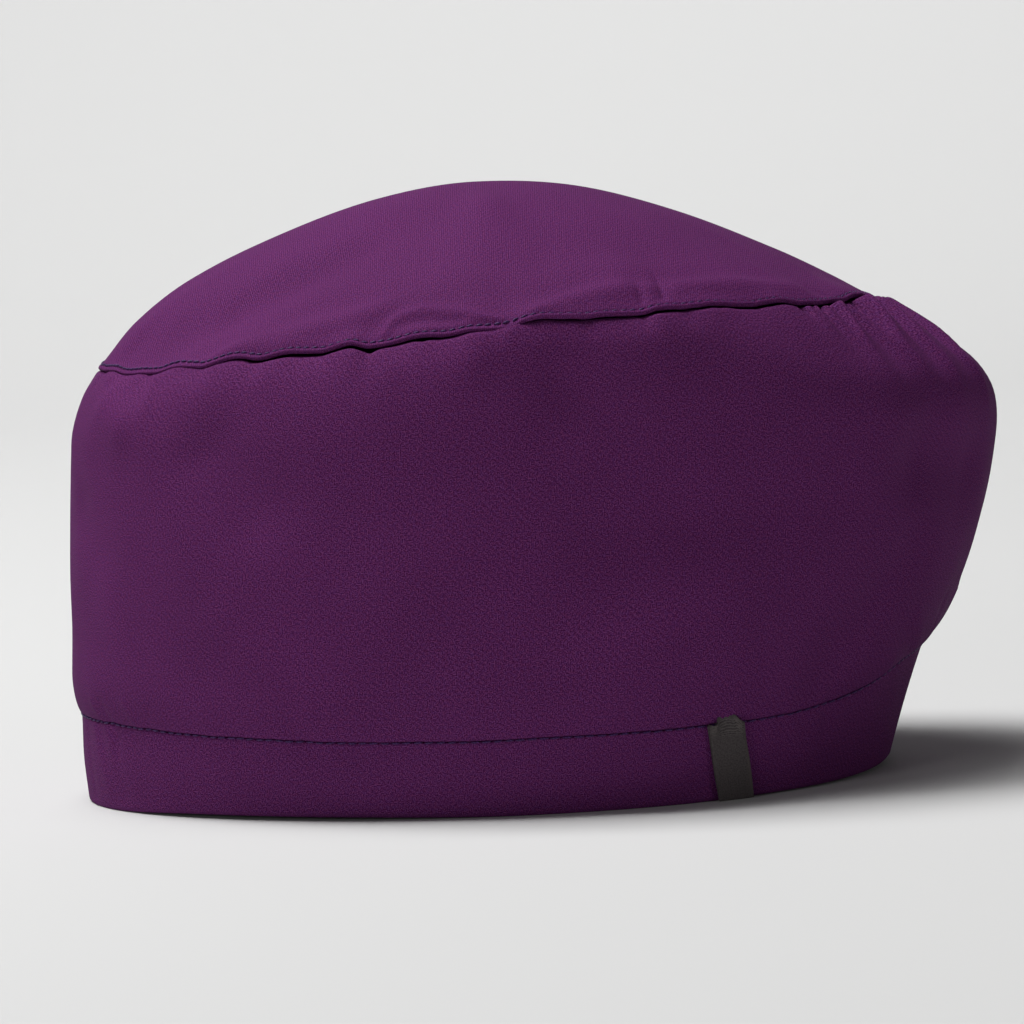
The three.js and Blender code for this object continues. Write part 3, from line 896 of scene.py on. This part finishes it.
def makeSideWall(look):
    shares = rowShares(wallPoint, look["rowsOverStitches"], look["middleRows"], look["rowsUnderSeam"])
    below = (1 - shares) * shareLength(wallPoint, 1.0, -0.02)
    up = shares * wallSpan
    grid = wallPoint(angles[None, :], shares)
    grid[..., 2] += hemBand["lineWobble"] * hemScallops * (1 - smoothStep(0, look["lineWobbleTo"], shares))
    grid[..., 2] += look["seamWobble"] * seamScallops * smoothStep(look["wobbleFrom"], 1, shares)
    grid = grid + outwardOf(grid) * wallHeights(look, shares, up, below)[..., None]
    outward = outwardOf(grid)
    outside = grid + outward * wallDetails(shares, below)[..., None]
    inside = outside - outward * look["thickness"]
    flat = np.stack([np.broadcast_to(columnArc, up.shape), up], -1)
    rings = list(zip(outside, flat))
    for row in [*range(len(shares) - 1, 0, -look["insideRowStep"]), 0]:
        rings.append((inside[row], flat[row]))
    return makeSheet("side_wall_cloth", rings, arcTotal), outside[0]


wall, wallFoot = makeSideWall(sideWall)
wall.data.materials.append(wallCloth)
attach(wall, "root")
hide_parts("side_wall")
print("side wall made")

# Crown panel: its edge is folded under and topstitched, and stands proud of the wall
crownPanel = {
    "thickness": 0.75,
    "rowsOverEdge": (
        0.16, 0.32, 0.5, 0.68, 0.84, 1.02, 1.18, 1.32, 1.5, 1.76, 2.2, 2.6, 3.15, 3.8, 4.6, 5.5, 6.6, 7.8,
        9.0, 10.3, 11.7, 13.2,
    ),
    "stitchesOverEdge": 1.32,
    "middleRows": 52,
    "wobbleFrom": 0.93,
    "foldsOverEdge": (1.2, 3.2),  # a fold fades out between these distances from the edge
    "unevenOverEdge": (1.5, 8),
    "unevenRings": (0.5, 0.9),
    "unevenness": 0.18,
    "leastProud": 0.06,
    "rollSteps": 10,
    "rollReach": 0.05,
    "rollSquareness": 0.8,
    "halvings": (0.62, 0.32, 0.16, 0.08),  # rings inside which the columns are half as many
}
# The folded edge and its groove of stitches: how far the cloth stands out at a distance from the edge
edgeProfile = table(
    "over out lap",
    (0.0, 0.3, -0.5),
    (0.16, 0.46, -0.46),
    (0.32, 0.54, -0.42),
    (0.5, 0.56, -0.36),
    (0.68, 0.48, -0.28),
    (0.84, 0.31, -0.22),
    (1.02, 0.06, -0.16),
    (1.18, -0.14, -0.13),
    (1.32, -0.22, -0.1),
    (1.5, -0.14, -0.08),
    (1.76, 0.0, -0.06),
    (2.2, 0.05, -0.03),
    (3.1, 0.04, 0.0),
    (5.0, 0.0, 0.0),
)


def crownGrid(look):
    edgeLength = shareLength(crownPoint, 1.0, -0.02)
    rings = [1 - distance / edgeLength for distance in look["rowsOverEdge"]]
    last = rings[-1]
    rings = np.array(rings + [last * (1 - i / look["middleRows"]) for i in range(1, look["middleRows"])])
    over = (1 - rings) * edgeLength
    grid = crownPoint(angles[None, :], rings)
    grid[..., 2] += sideWall["seamWobble"] * seamScallops * smoothStep(look["wobbleFrom"], 1, rings)
    up = rings * crownSpan
    height = foldField(crownFolds, angles[None, :], up) * smoothStep(*look["foldsOverEdge"], over)
    uneven = smoothStep(*look["unevenOverEdge"], over) * smoothStep(*look["unevenRings"], rings)
    height = height + unevenness(columnArc[None, :], up, look["unevenness"]) * uneven
    return grid + outwardOf(grid) * height[..., None], rings, over


# Flat coordinates: out from the apex along the cloth, in the direction of the plan
def flatFromApex(grid):
    away = grid[..., :2] - (0, apexY)
    direction = unit(away)[..., ::-1]
    steps = np.linalg.norm(np.diff(grid, axis=0), axis=2)
    reach = np.concatenate([np.cumsum(steps[::-1], axis=0)[::-1], np.zeros((1, skin["columns"]))])
    reach = reach + np.linalg.norm(away[-1], axis=1)
    return direction * reach[..., None], direction


# The roll under the edge, from inside to outside
def rollUnderEdge(look, start, outward, top, flat, direction):
    edge = crownPoint(angles, np.ones(skin["columns"]))
    edge[:, 2] += sideWall["seamWobble"] * seamScallops
    downhill = unit(edge - start)
    middle, half = (top - look["thickness"]) / 2, (top + look["thickness"]) / 2
    rings = []
    for i in range(look["rollSteps"], 0, -1):
        turn = math.pi * i / (look["rollSteps"] + 1)
        across, along = math.cos(turn), math.sin(turn)
        out = middle + half * math.copysign(abs(across) ** look["rollSquareness"], across)
        down = (look["rowsOverEdge"][0] + look["rollReach"]) * along ** look["rollSquareness"]
        ring = start + outward * out[:, None] + downhill * down
        rings.append((ring, flat + direction * (half * turn)[:, None]))
    return rings


def makeCrownPanel(look):
    grid, rings, over = crownGrid(look)
    outward = outwardOf(grid)
    lift = look["leastProud"] + (1 - look["leastProud"]) * np.maximum(proud, 0)
    shape = readCurve(edgeProfile, "over", "out", over) * lift
    shape = shape + readCurve(edgeProfile, "over", "lap", over) * np.maximum(-proud, 0)
    outside = grid + outward * shape[..., None]
    inside = grid - outward * look["thickness"]
    flat, direction = flatFromApex(grid)
    sheet = rollUnderEdge(look, grid[0], outward[0], shape[0], flat[0], direction[0])
    keeps = [2 ** sum(ring.max() < halving for halving in look["halvings"]) for ring in rings]
    for row, keep in enumerate(keeps):
        sheet.append((outside[row][::keep], flat[row][::keep]))
    apex, centre = np.array([[0.0, apexY, outside[-1][:, 2].mean()]]), np.zeros((1, 2))
    sheet += [(apex, centre), (apex - (0, 0, look["thickness"]), centre)]
    for row in range(len(rings) - 1, -1, -1):
        if row % 2 == 0 or keeps[row] != keeps[row - 1]:
            sheet.append((inside[row][:: keeps[row]], flat[row][:: keeps[row]]))
    stitchRow = look["rowsOverEdge"].index(look["stitchesOverEdge"])
    return makeSheet("crown_panel_cloth", sheet), outside[stitchRow], outward[stitchRow]


crown, crownStitchPath, crownStitchOut = makeCrownPanel(crownPanel)
crown.data.materials.append(crownCloth)
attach(crown, "root")
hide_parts("crown_panel")
print("crown panel made")

# Stitches: one thread bead, modelled once and laid along each seam
stitching = {
    "crown": {"pitch": 2.1, "length": 1.75, "width": 0.5, "stand": 0.1, "slant": 13},
    "hem": {"pitch": 2.65, "length": 2.2, "width": 0.5, "stand": 0.06, "slant": 5},
    "hemLineLift": 0.18,
    "sidesOfBead": 6,
    "diveAtEnds": 0.35,
    "unevenPitch": 0.06,
    "unevenSlant": 2.5,
    "unevenLength": (0.88, 1.05),
    "directionOver": 0.4,
    "colour": (0.036, 0.011, 0.068),
    "darkPly": 0.6,
    "lightPly": 1.7,
    "plyScale": 900.0,
    "relief": 0.00005,
    "roughness": 0.5,
    "specular": 0.2,
}


def oneStitch(look):
    bpy.ops.object.select_all(action="DESELECT")
    bpy.ops.mesh.primitive_uv_sphere_add(
        segments=look["sidesOfBead"], ring_count=look["sidesOfBead"], radius=0.5, rotation=(0, math.pi / 2, 0)
    )
    bpy.ops.object.transform_apply(location=True, rotation=True, scale=True)
    bead = bpy.context.object
    points = np.array([vertex.co[:] for vertex in bead.data.vertices])
    faces = [list(polygon.vertices) for polygon in bead.data.polygons]
    bpy.data.objects.remove(bead)
    # the thread dives into the cloth at both ends
    points[:, 2] -= look["diveAtEnds"] * (2 * points[:, 0]) ** 4
    return points, faces


stitchPoints, stitchFaces = oneStitch(stitching)


# Points or directions round a seam, read at a length along it
def readLoop(rows, lengths, at):
    closed = np.vstack([rows, rows[:1]])
    return np.array([np.interp(at, lengths, closed[:, axis], period=lengths[-1]) for axis in range(3)])


def layStitches(name, path, outward, look):
    lengths = lengthsAlong(np.vstack([path, path[:1]]))
    count = round(lengths[-1] / look["pitch"])
    over = stitching["directionOver"]
    allPoints, allFaces, allFlat = [], [], []
    for i in range(count):
        at = (i + 0.5) * lengths[-1] / count + rng.normal(0, stitching["unevenPitch"])
        centre = readLoop(path, lengths, at)
        normal = unit(readLoop(outward, lengths, at))
        ahead = unit(readLoop(path, lengths, at + over) - readLoop(path, lengths, at - over))
        aside = np.cross(normal, ahead)
        slant = math.radians(look["slant"] + rng.normal(0, stitching["unevenSlant"]))
        along = ahead * math.cos(slant) + aside * math.sin(slant)
        side = aside * math.cos(slant) - ahead * math.sin(slant)
        length = look["length"] * rng.uniform(*stitching["unevenLength"])
        bead = stitchPoints * (length, look["width"], look["width"])
        place = centre + normal * (look["width"] * 0.3 + look["stand"])
        allPoints.append(place + bead[:, :1] * along + bead[:, 1:2] * side + bead[:, 2:] * normal)
        allFaces += [[corner + i * len(stitchPoints) for corner in face] for face in stitchFaces]
        allFlat.append(np.stack([at + bead[:, 0], bead[:, 1]], -1))
    return makeMesh(name, np.concatenate(allPoints), allFaces, np.concatenate(allFlat))


def shadesOf(look, dark, light):
    return [[factor * part for part in look["colour"]] for factor in (look[dark], look[light])]


def threadMaterial(look):
    material, tree, shader = newMaterial("sewing thread", look)
    flat = addNode(tree, "ShaderNodeUVMap", {}, uv_map="cloth").outputs["UV"]
    plyLook = {"Vector": flat, "Scale": look["plyScale"], "Distortion": 1.0}
    ply = addNode(tree, "ShaderNodeTexWave", plyLook, bands_direction="DIAGONAL").outputs["Fac"]
    dark, light = shadesOf(look, "darkPly", "lightPly")
    showThreads(tree, shader, addRamp(tree, ply, (0.0, dark), (1.0, light)), ply, look["relief"], 0.5)
    return material


thread = threadMaterial(stitching)
hemLine = (hemTop + wallFoot) / 2 + hemTopOut * stitching["hemLineLift"]
for name, path, outward, look in (
    ("crown_stitching", crownStitchPath, crownStitchOut, stitching["crown"]),
    ("hem_stitching", hemLine, hemTopOut, stitching["hem"]),
):
    stitches = layStitches(name, path, outward, look)
    stitches.data.materials.append(thread)
    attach(stitches, "root")
print("stitches laid")

# Ribbon label, folded double over the hem's face, with raw ends in the hem's line of stitches
label = {
    "width": 9.0,
    "thickness": 0.3,
    "angle": 120.5,
    "slant": 6.1,
    "foot": 0.03,
    "head": 1.0,
    "backOut": 0.35,
    "frontOut": 0.95,
    "columns": 18,
    "rows": 30,
    "foldSteps": 6,
    "standOff": 0.35,
    "standsOffFrom": 0.8,
    "rippleHeight": 0.12,
    "ripplePace": 4.1,
    "raggedFrom": 0.85,
    "ragged": 0.012,
    "raggedPace": 2.9,
    "endBow": 0.12,  # how far the middle of the raw end reaches past its corners
    "endBowAt": 0.7,
    "endBowAcross": 3.0,
    "widthAtFoot": 1.04,
    "narrowing": 0.11,
    "narrowsOver": (0.3, 1.1),
    "colour": (0.046, 0.0395, 0.0405),
    "selvedge": (0.075, 0.064, 0.062),
    "frayed": (0.085, 0.073, 0.072),
    "darkPick": 0.6,
    "lightPick": 1.8,
    "pickScale": 1100.0,
    "grainScale": 2600.0,
    "relief": 0.00008,
    "roughness": 0.8,
    "specular": 0.12,
    "selvedgeAt": (0.86, 0.93),  # shares of half the width
    "selvedgeOver": 0.35,  # the weave's value over which a thread is paler
    "frayedAt": (0.0368, 0.038),  # lengths along the ribbon, in metres
    "frayedOver": 0.62,
    "frayedSides": (0.3, 0.65),
}
# Crumples of the ribbon's raw front end: places across it, and how far each stands out
labelCrumples = table(
    "place across height",
    (-3.2, 1.2, 0.7),
    (3.6, 0.8, 0.5),
    (0.0, 1.6, -0.3),
)


def labelMaterial(look):
    material, tree, shader = newMaterial("label ribbon", look)
    flat = addNode(tree, "ShaderNodeUVMap", {}, uv_map="cloth").outputs["UV"]
    pickLook = {"Vector": flat, "Scale": look["pickScale"], "Distortion": 1.2}
    picks = addNode(tree, "ShaderNodeTexWave", pickLook, bands_direction="Y").outputs["Fac"]
    weave = addMath(tree, "MULTIPLY_ADD", picks, 0.5, addNoise(tree, flat, look["grainScale"], 2.0))
    dark, light = shadesOf(look, "darkPick", "lightPick")
    colour = addRamp(tree, weave, (0.4, dark), (1.0, light))
    axes = addNode(tree, "ShaderNodeSeparateXYZ", {"Vector": flat}).outputs
    halfWidth = look["width"] * mm / 2
    edge = addFade(tree, axes["X"], *(share * halfWidth for share in look["selvedgeAt"]))
    loose = addMath(tree, "GREATER_THAN", weave, look["selvedgeOver"])
    selvedge = addMath(tree, "MULTIPLY", edge, loose)
    aside = addMath(tree, "ABSOLUTE", axes["X"])
    corners = addFade(tree, aside, *(share * halfWidth for share in look["frayedSides"]))
    ends = addMath(tree, "MULTIPLY", addFade(tree, axes["Y"], *look["frayedAt"]), corners)
    frayed = addMath(tree, "MULTIPLY", ends, addMath(tree, "GREATER_THAN", weave, look["frayedOver"]))
    for shade, share in (("selvedge", selvedge), ("frayed", frayed)):
        mixture = {"Factor": share, "A": colour, "B": (*look[shade], 1)}
        colour = addNode(tree, "ShaderNodeMix", mixture, data_type="RGBA").outputs["Result"]
    showThreads(tree, shader, colour, weave, look["relief"], 0.6)
    return material


def hemFace(angle, share, out):
    point = hemPoint(angle, share)
    outward = unit(np.cross(hemPoint(angle + 0.5, share) - point, hemPoint(angle, share + 0.02) - point))
    puff = hemBand["puff"] * np.sin(np.pi * np.clip(share, 0, 1)) ** 2
    return point + outward * (out + puff)[..., None]


# The ribbon's way down behind, round the fold and up in front: shares of the hem, and how far out
def ribbonPath(look):
    radius = (look["frontOut"] - look["backOut"]) / 2
    turns = np.linspace(0, math.pi, look["foldSteps"] + 1)[1:-1]
    down = np.linspace(look["head"], look["foot"], look["rows"])
    around = look["foot"] - radius * np.sin(turns) / hemSpan
    behind, before = (np.full(look["rows"], look[out]) for out in ("backOut", "frontOut"))
    shares = np.concatenate([down, around, down[::-1]])
    outs = np.concatenate([behind, look["backOut"] + radius * (1 - np.cos(turns)), before])
    return shares[:, None], outs[:, None]


def slabFaces(rowCount, columnCount):
    front, back = np.arange(2 * rowCount * columnCount).reshape(2, rowCount, columnCount)
    sides = (
        (front[:-1, :-1], front[:-1, 1:], front[1:, 1:], front[1:, :-1]),
        (back[1:, :-1], back[1:, 1:], back[:-1, 1:], back[:-1, :-1]),
        (back[:-1, 0], front[:-1, 0], front[1:, 0], back[1:, 0]),
        (front[:-1, -1], back[:-1, -1], back[1:, -1], front[1:, -1]),
        (back[0, :-1], back[0, 1:], front[0, 1:], front[0, :-1]),
        (front[-1, :-1], front[-1, 1:], back[-1, 1:], back[-1, :-1]),
    )
    return [face for side in sides for face in np.stack([corner.ravel() for corner in side], 1).tolist()]


def makeLabel(look):
    across = np.linspace(-0.5, 0.5, look["columns"] + 1) * look["width"]
    shares, outs = ribbonPath(look)
    shares, outs = shares + 0 * across, outs + 0 * across
    crumple = look["standOff"] + look["rippleHeight"] * np.sin(across * look["ripplePace"])
    for place, reach, height in zip(*labelCrumples.values()):
        crumple = crumple + height * bellCurve(across - place, reach)
    isFront = outs > (look["backOut"] + look["frontOut"]) / 2
    outs = outs + crumple * smoothStep(look["standsOffFrom"], look["head"], shares) * isFront
    ragged = look["endBow"] * np.exp(-(((across - look["endBowAt"]) / look["endBowAcross"]) ** 4))
    ragged = ragged + look["ragged"] * np.sin(across * look["raggedPace"])
    ragged = ragged + rng.uniform(-look["ragged"], look["ragged"], across.shape)
    shares = shares + ragged * smoothStep(look["raggedFrom"], look["head"], shares)
    across = across * (look["widthAtFoot"] - look["narrowing"] * smoothStep(*look["narrowsOver"], shares))
    perDegree = np.linalg.norm(hemPoint(look["angle"] + 0.5, 0.5) - hemPoint(look["angle"] - 0.5, 0.5))
    angle = look["angle"] + (across - look["slant"] * (shares - 0.5)) / perDegree
    middle = hemFace(angle, shares, outs)
    face = unit(np.cross(np.gradient(middle, axis=1), np.gradient(middle, axis=0)))
    points = np.stack([middle + face * side * look["thickness"] for side in (0.5, -0.5)])
    flat = np.stack([across, lengthsAlong(middle[:, 0])[:, None] + 0 * across], -1)
    flat = np.stack([flat, flat])
    return makeMesh("label_ribbon_loop", points.reshape(-1, 3), slabFaces(*shares.shape), flat.reshape(-1, 2))


ribbon = makeLabel(label)
ribbon.data.materials.append(labelMaterial(label))
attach(ribbon, "root")
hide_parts("label")
print("label made")

# Floor and light: a pale bowl with no edge in sight, a soft light from the upper front and an even sky
studio = {
    "colour": (0.56, 0.56, 0.558),
    "roughness": 0.9,
    "specular": 0.1,
    "bowlRadius": 3.2,
    "bowlHeight": 2.6,
    "bend": 1.6,
    "bendSteps": 14,
    "behindCamera": (1.2, 2.0, 1.0, 0.2),  # where the floor darkens, from and to which share of its tone
    "aside": (0.75, 1.3, 1.0, 0.25),
    "sky": 0.05,
}
lamps = {
    "overhead": {"place": (-0.1, -0.5, 2.2), "towards": (0, 0, 0), "power": 32, "size": 1.2},
    "forehead": {"place": (-0.2, -1.0, 2.0), "towards": (-0.1, 0, 0), "power": 43, "size": 1.0},
    "key": {"place": (1.6, -1.2, 0.35), "towards": (0, 0, 0.07), "power": 8.6, "size": 0.6},
    "right": {"place": (0.95, 1.65, 0.3), "towards": (0, 0, 0.07), "power": 4.2, "size": 0.6},
    "backdrop": {
        "place": (-1.7, 0.1, 2.4), "towards": (-2.9, 0.1, 0.2), "power": 20, "size": 1.8, "spread": 110,
    },
}


# The bowl is darker behind the camera and out of its sight on both sides, so that the dents show
def floorMaterial(look):
    material, tree, shader = newMaterial("pale floor", look)
    place = addNode(tree, "ShaderNodeTexCoord", {}).outputs["Object"]
    axes = addNode(tree, "ShaderNodeSeparateXYZ", {"Vector": place}).outputs
    behind = addFade(tree, axes["X"], *look["behindCamera"])
    aside = addFade(tree, addMath(tree, "ABSOLUTE", axes["Y"]), *look["aside"])
    toned = {"Vector": look["colour"], "Scale": addMath(tree, "MULTIPLY", behind, aside)}
    tone = addNode(tree, "ShaderNodeVectorMath", toned, operation="SCALE")
    tree.links.new(tone.outputs["Vector"], shader.inputs["Base Color"])
    return material


def makeFloor(look):
    flatRadius = look["bowlRadius"] - look["bend"]
    bpy.ops.object.select_all(action="DESELECT")
    bpy.ops.mesh.primitive_circle_add(vertices=96, radius=flatRadius, fill_type="NGON", location=(0, 0, 0))
    floor = bpy.context.object
    floor.name = "floor"
    bpy.ops.object.mode_set(mode="EDIT")
    bpy.ops.mesh.select_mode(type="EDGE")
    bpy.ops.mesh.select_all(action="SELECT")
    radius, height = flatRadius, 0.0
    for i in range(1, look["bendSteps"] + 1):
        turn = math.pi / 2 * i / look["bendSteps"]
        nextRadius = flatRadius + look["bend"] * math.sin(turn)
        nextHeight = look["bend"] * (1 - math.cos(turn))
        bpy.ops.mesh.extrude_edges_move(TRANSFORM_OT_translate={"value": (0, 0, nextHeight - height)})
        grow = nextRadius / radius
        bpy.ops.transform.resize(value=(grow, grow, 1), center_override=(0, 0, 0))
        radius, height = nextRadius, nextHeight
    bpy.ops.mesh.extrude_edges_move(TRANSFORM_OT_translate={"value": (0, 0, look["bowlHeight"] - height)})
    bpy.ops.mesh.select_all(action="SELECT")
    bpy.ops.mesh.normals_make_consistent(inside=True)
    bpy.ops.object.mode_set(mode="OBJECT")
    bpy.ops.object.shade_smooth()
    floor.data.materials.append(floorMaterial(look))


def addLamp(name, look):
    data = bpy.data.lights.new(name, "AREA")
    data.energy = look["power"]
    data.size = look["size"]
    data.spread = math.radians(look.get("spread", 180))
    lamp = bpy.data.objects.new(name, data)
    lamp.location = look["place"]
    ahead = Vector(look["towards"]) - lamp.location
    lamp.rotation_euler = ahead.to_track_quat("-Z", "Y").to_euler()
    lamp.visible_camera = False
    bpy.context.collection.objects.link(lamp)


makeFloor(studio)
for lampName, lampLook in lamps.items():
    addLamp(lampName, lampLook)
world = bpy.data.worlds.new("sky")
world.use_nodes = True
world.node_tree.nodes["Background"].inputs["Color"].default_value = (1, 1, 1, 1)
world.node_tree.nodes["Background"].inputs["Strength"].default_value = studio["sky"]
bpy.context.scene.world = world
bpy.context.scene.view_settings.view_transform = "Standard"
print("studio lit")
